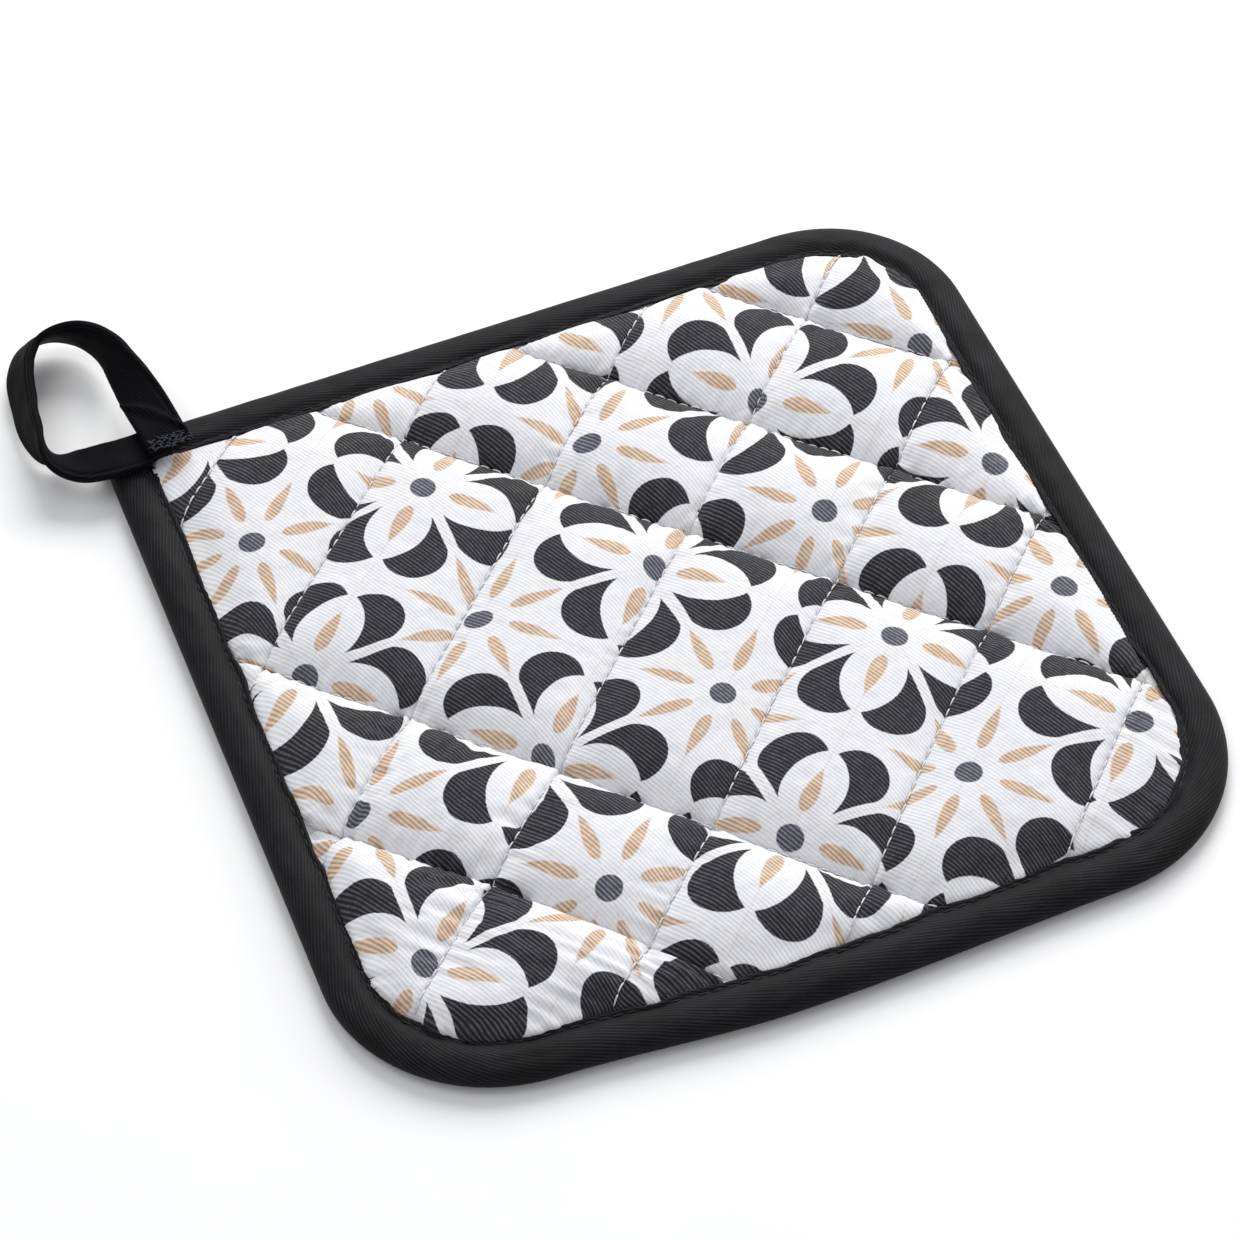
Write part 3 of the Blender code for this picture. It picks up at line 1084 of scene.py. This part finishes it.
def quilting_stitches(cloth, surface, lift):
    """Stitches along every quilting line of one face of the pad."""
    draw = random.Random(4)
    stitches = []
    for along_a, lines, above in ((True, A_LINES, THREAD_ABOVE_A), (False, B_LINES, THREAD_ABOVE_B)):
        for line in lines:
            run = line_points(cloth, surface, line, along_a)
            if len(run) < 4:
                continue
            lengths = np.concatenate([[0], np.cumsum(np.linalg.norm(np.diff(run, axis=0), axis=1))])
            place = draw.uniform(0.3, 1.5) * MM
            while place + STITCH < lengths[-1]:
                ends = []
                for share in (0.06, 0.94):
                    at = place + STITCH * share
                    spot = Vector([np.interp(at, lengths, run[:, axis]) for axis in range(3)])
                    spot.x += draw.uniform(-STITCH_WANDER, STITCH_WANDER)
                    spot.y += draw.uniform(-STITCH_WANDER, STITCH_WANDER)
                    ends.append(spot + lift.normalized() * above)
                stitches.append((*ends, lift))
                place += STITCH * draw.uniform(0.94, 1.06)
    return stitches


def binding_stitches(lift):
    """Machine stitches that hold the binding, in the groove beside its edge."""
    posts = rim_posts(SEAM_SPACING)
    run = []
    for point, inward, _ in posts:
        spot = point + inward * BINDING_STITCH_INSET
        x, y = sew_uneven(spot.x, spot.y)
        run.append((float(x), float(y), BINDING_STITCH_HEIGHT))
    run.append(run[0])
    run = np.array(run)
    lengths = np.concatenate([[0], np.cumsum(np.linalg.norm(np.diff(run, axis=0), axis=1))])
    stitches = []
    for place in np.arange(0, lengths[-1] - STITCH, STITCH):
        ends = [
            Vector([np.interp(place + STITCH * share, lengths, run[:, axis]) for axis in range(3)])
            for share in (0.05, 0.95)
        ]
        stitches.append((*ends, lift))
    return stitches


def tack_stitches():
    """Rows of short crossing stitches over the loop's end."""
    draw = random.Random(12)
    corner = Vector((-HALF_SIDE, HALF_SIDE, 0))
    low = Vector((*TACK_FROM, 0)) * MM
    high = Vector((*TACK_TO, 0)) * MM
    lift = Vector((0, 0, TACK_ARCH))
    stitches = []
    for row in range(TACK_ROWS):
        for step in range(TACK_COUNT):
            along = low.x + (high.x - low.x) * (step + draw.uniform(-0.8, 0.8)) / (TACK_COUNT - 1)
            across = low.y + (high.y - low.y) * (row + 0.5 + draw.uniform(-0.4, 0.4)) / TACK_ROWS
            middle = corner + Vector((along, across, TACK_HEIGHT + draw.uniform(-0.1, 0.15) * MM))
            turn = math.radians(20 if step % 2 else 150) + draw.uniform(-0.5, 0.5)
            half = Vector((math.cos(turn), math.sin(turn), 0)) * (TACK_STITCH / 2 * draw.uniform(0.5, 1.1))
            stitches.append((middle - half, middle + half, lift))
    return stitches


def photo_camera():
    data = bpy.data.cameras.new("photo_camera")
    data.sensor_width = FILM
    data.lens = FOCAL_PIXELS / PHOTO_PIXELS * FILM
    data.clip_start = 0.01
    camera = bpy.data.objects.new("photo_camera", data)
    turn = (
        Matrix.Rotation(CAMERA_ROLL, 3, "Z")
        @ Matrix.Rotation(CAMERA_TILT, 3, "X")
        @ Matrix.Rotation(CAMERA_TURN, 3, "Z")
    )
    back = turn.transposed()
    camera.matrix_world = Matrix.Translation(-(back @ CAMERA_SHIFT)) @ back.to_4x4()
    bpy.context.scene.collection.objects.link(camera)
    bpy.context.scene.camera = camera


def soft_light(name, place, size, power):
    data = bpy.data.lights.new(name, "AREA")
    data.shape = "DISK"
    data.size = size
    data.energy = power
    lamp = bpy.data.objects.new(name, data)
    lamp.location = place
    lamp.rotation_euler = (-Vector(place)).to_track_quat("-Z", "Y").to_euler()
    bpy.context.scene.collection.objects.link(lamp)


def studio():
    """A pale floor, light from behind on the right and a bright room."""
    mesh = bpy.data.meshes.new("pale_floor")
    corners = [(x * FLOOR_REACH, y * FLOOR_REACH, 0) for x, y in ((-1, -1), (1, -1), (1, 1), (-1, 1))]
    mesh.from_pydata(corners, [], [(0, 1, 2, 3)])
    floor = bpy.data.objects.new("pale_floor", mesh)
    mesh.materials.append(floor_finish())
    bpy.context.scene.collection.objects.link(floor)
    world = bpy.data.worlds.new("bright_room")
    bpy.context.scene.world = world
    world.use_nodes = True
    sky = world.node_tree.nodes["Background"]
    sky.inputs["Color"].default_value = ROOM_COLOUR
    sky.inputs["Strength"].default_value = ROOM_STRENGTH
    for light in LIGHTS:
        soft_light(*light)
    bpy.context.scene.view_settings.view_transform = "Standard"


def build():
    print_cotton = cotton("printed_cotton", True)
    plain_cotton = cotton("plain_cotton", False)
    tape = tape_cloth("black_tape", BINDING_SHINE, BINDING_RIB_SHEEN)
    # A darker, duller copy of the black tape for the loop: painted shade
    shaded_loop_tape = tape_cloth("shaded_black_tape", LOOP_SHINE, LOOP_SHADED_RIB)
    white_thread = thread_finish("white_thread", WHITE_THREAD, 0.6)
    black_thread = thread_finish("black_thread", BLACK_THREAD, 0.7)
    blue_thread = thread_finish("blue_black_thread", BLUE_THREAD, 0.6)

    cloth = PadCloth()
    pad = add_piece("pad_cloth", pad_mesh(cloth), print_cotton, plain_cotton)
    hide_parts("quilted_pad")

    lift = Vector((0, 0, STITCH_ARCH))
    upper_stitches = quilting_stitches(cloth, cloth.top, lift)
    upper = add_stitches("quilting_thread_top", upper_stitches, white_thread)
    under_stitches = quilting_stitches(cloth, cloth.under, -lift)
    under = add_stitches("quilting_thread_under", under_stitches, white_thread)

    edge = add_piece("binding_tape", binding_mesh(), tape)
    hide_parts("binding")
    posts = rim_posts(BINDING_SPACING)
    rim_length = posts[-1][2] + (posts[-1][0] - posts[0][0]).length
    seam = add_stitches("binding_stitches", binding_stitches(lift * 0.5), black_thread)

    loop = add_piece("loop_tape", loop_mesh(), shaded_loop_tape)
    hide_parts("hanging_loop")
    loop_length = loop_frames()[-1][-1]
    tack = add_stitches("bar_tack", tack_stitches(), blue_thread)

    photo_camera()
    studio()


build()
